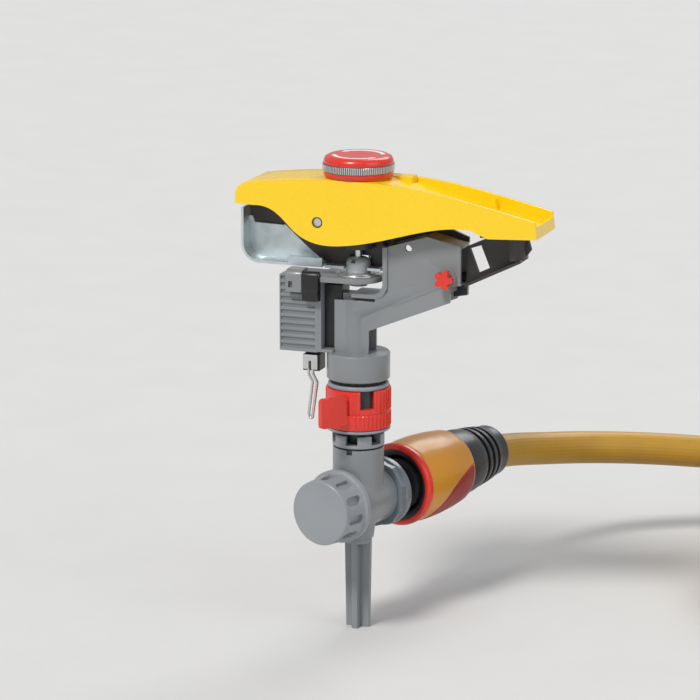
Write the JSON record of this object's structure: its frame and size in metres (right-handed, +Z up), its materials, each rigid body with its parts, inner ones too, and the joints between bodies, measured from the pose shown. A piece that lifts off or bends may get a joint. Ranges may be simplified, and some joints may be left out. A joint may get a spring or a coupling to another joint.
{
  "type": "impact sprinkler",
  "caption": "Part-circle impact sprinkler head with spring-return hammer arm on a ground spike, with a blanked through-flow tee and a snap-connected leader hose.",
  "frame": {"origin": "on the riser's axis at ground level, where the spike enters the ground", "axes": "+Z up along the riser, +X along the nozzle and hammer arm, so the head's mid-plane is the XZ plane"},
  "size_m": [0.4467, 0.2722, 0.3761],
  "materials": {
    "grey_plastic": "moulded grey plastic, satin",
    "pale_plastic": "pale grey plastic, satin",
    "dark_plastic": "dark grey plastic, satin",
    "black_plastic": "black plastic, satin",
    "yellow_plastic": "glossy yellow plastic",
    "red_plastic": "glossy red plastic",
    "silver_plastic": "metallised knurled band",
    "orange_plastic": "glossy amber plastic",
    "galvanised": "galvanised sheet steel",
    "steel": "bright steel",
    "spring_steel": "spring steel wire",
    "seal_rubber": "black rubber",
    "hose_skin": "ribbed ochre hose"
  },
  "bodies": {
    "base": {"spike": "grey_plastic", "tee_body": "grey_plastic", "inlet_adaptor": "grey_plastic", "adaptor_washer": "seal_rubber", "inlet_o_ring": "seal_rubber", "bearing_nut": "pale_plastic", "nut_gasket": "seal_rubber", "bearing_sleeve": "dark_plastic", "collar_retainer": "pale_plastic", "thrust_washers": "pale_plastic", "bearing_spring": "spring_steel", "connector_core": "pale_plastic", "connector_claws": "pale_plastic", "hose_nut": "dark_plastic", "hose_collet": "pale_plastic", "hose": "hose_skin", "hose_coil": "hose_skin", "hose_tail": "hose_skin", "far_core": "pale_plastic", "far_nut": "dark_plastic"},
    "cap_seal": {"cap_washer": "seal_rubber"},
    "cap": {"screw_cap": "pale_plastic"},
    "lower_collar": {"lower_arc_collar": "red_plastic"},
    "upper_collar": {"upper_arc_collar": "red_plastic"},
    "rotor": {"rotor_body": "grey_plastic", "rotor_stem": "pale_plastic", "dust_seal": "seal_rubber", "stem_o_ring": "seal_rubber", "pivot_frame": "grey_plastic", "case_screws": "steel", "nozzle_insert": "pale_plastic", "mechanism_cover": "dark_plastic", "pivot_pin": "steel", "pivot_washer": "steel", "rocker_pin": "steel", "rocker_spring": "spring_steel", "mode_cap": "grey_plastic", "mode_pin": "steel"},
    "trip": {"trip_rocker": "black_plastic", "trip_wire": "steel", "wire_clip": "steel"},
    "mode": {"mode_lever": "black_plastic"},
    "hammer": {"arm_cover": "yellow_plastic", "arm_bracket": "galvanised", "arm_core": "dark_plastic", "pivot_bush": "dark_plastic", "cover_pin": "steel", "deflector": "dark_plastic", "deflector_screws": "steel", "bracket_rivets": "steel", "torsion_spring": "spring_steel"},
    "knob": {"knob_base": "red_plastic", "knob_band": "silver_plastic", "knob_cap": "red_plastic"},
    "diffuser": {"diffuser_knob": "red_plastic"},
    "needle": {"diffuser_needle": "steel"},
    "near_slide": {"connector_sleeve": "orange_plastic", "connector_lip": "red_plastic"},
    "far_slide": {"far_sleeve": "orange_plastic", "far_lip": "red_plastic"}
  },
  "joints": [
    {"name": "rotor_turn", "type": "hinge", "parent": "base", "child": "rotor", "pos_m": [0, 0, 0.1335], "axis": [0, 0, 1], "continuous": true},
    {"name": "lower_collar_turn", "type": "hinge", "parent": "base", "child": "lower_collar", "pos_m": [0, 0, 0.102], "axis": [0, 0, 1], "range_deg": [-55, 75]},
    {"name": "upper_collar_turn", "type": "hinge", "parent": "base", "child": "upper_collar", "pos_m": [0, 0, 0.111], "axis": [0, 0, 1], "range_deg": [-75, 55]},
    {"name": "hammer_swing", "type": "hinge", "parent": "rotor", "child": "hammer", "pos_m": [0, 0, 0.1735], "axis": [0, 0, 1], "range_deg": [0, 75], "stiffness_Nm_per_rad": 0.02, "springref_deg": -34.38},
    {"name": "knob_turn", "type": "hinge", "parent": "hammer", "child": "knob", "pos_m": [0, 0, 0.2175], "axis": [0, 0, 1], "range_deg": [0, 270]},
    {"name": "trip_rock", "type": "hinge", "parent": "rotor", "child": "trip", "pos_m": [-0.0223, 0, 0.1455], "axis": [1, 0, 0], "range_deg": [-12, 12]},
    {"name": "mode_flip", "type": "hinge", "parent": "rotor", "child": "mode", "pos_m": [-0.0192, -0.0116, 0.1697], "axis": [-1, 0, 0], "range_deg": [0, 92]},
    {"name": "diffuser_turn", "type": "hinge", "parent": "rotor", "child": "diffuser", "pos_m": [0.0454, -0.012, 0.1726], "axis": [0, 1, 0], "range_deg": [0, 1445]},
    {"name": "needle_travel", "type": "slide", "parent": "rotor", "child": "needle", "axis": [0, 1, 0], "range_m": [0, 0.004]},
    {"name": "cap_turn", "type": "hinge", "parent": "base", "child": "cap_seal", "pos_m": [0, 0, 0.062], "axis": [-0.2756, -0.9613, 0], "range_deg": [0, 1800]},
    {"name": "cap_travel", "type": "slide", "parent": "cap_seal", "child": "cap", "axis": [-0.2756, -0.9613, 0], "range_m": [0, 0.01005]},
    {"name": "near_release", "type": "slide", "parent": "base", "child": "near_slide", "axis": [0.2756, 0.9613, 0], "range_m": [0, 0.005], "stiffness_N_per_m": 600, "springref_m": -0.003},
    {"name": "far_release", "type": "slide", "parent": "base", "child": "far_slide", "axis": [-0.3338, 0.9426, 0], "range_m": [0, 0.005], "stiffness_N_per_m": 600, "springref_m": -0.003}
  ],
  "couplings": [
    {"joint": "diffuser_turn", "follows": "needle_travel", "rad_per_m": 6283.2},
    {"joint": "cap_travel", "follows": "cap_turn", "m_per_rad": 0.00031831}
  ]
}
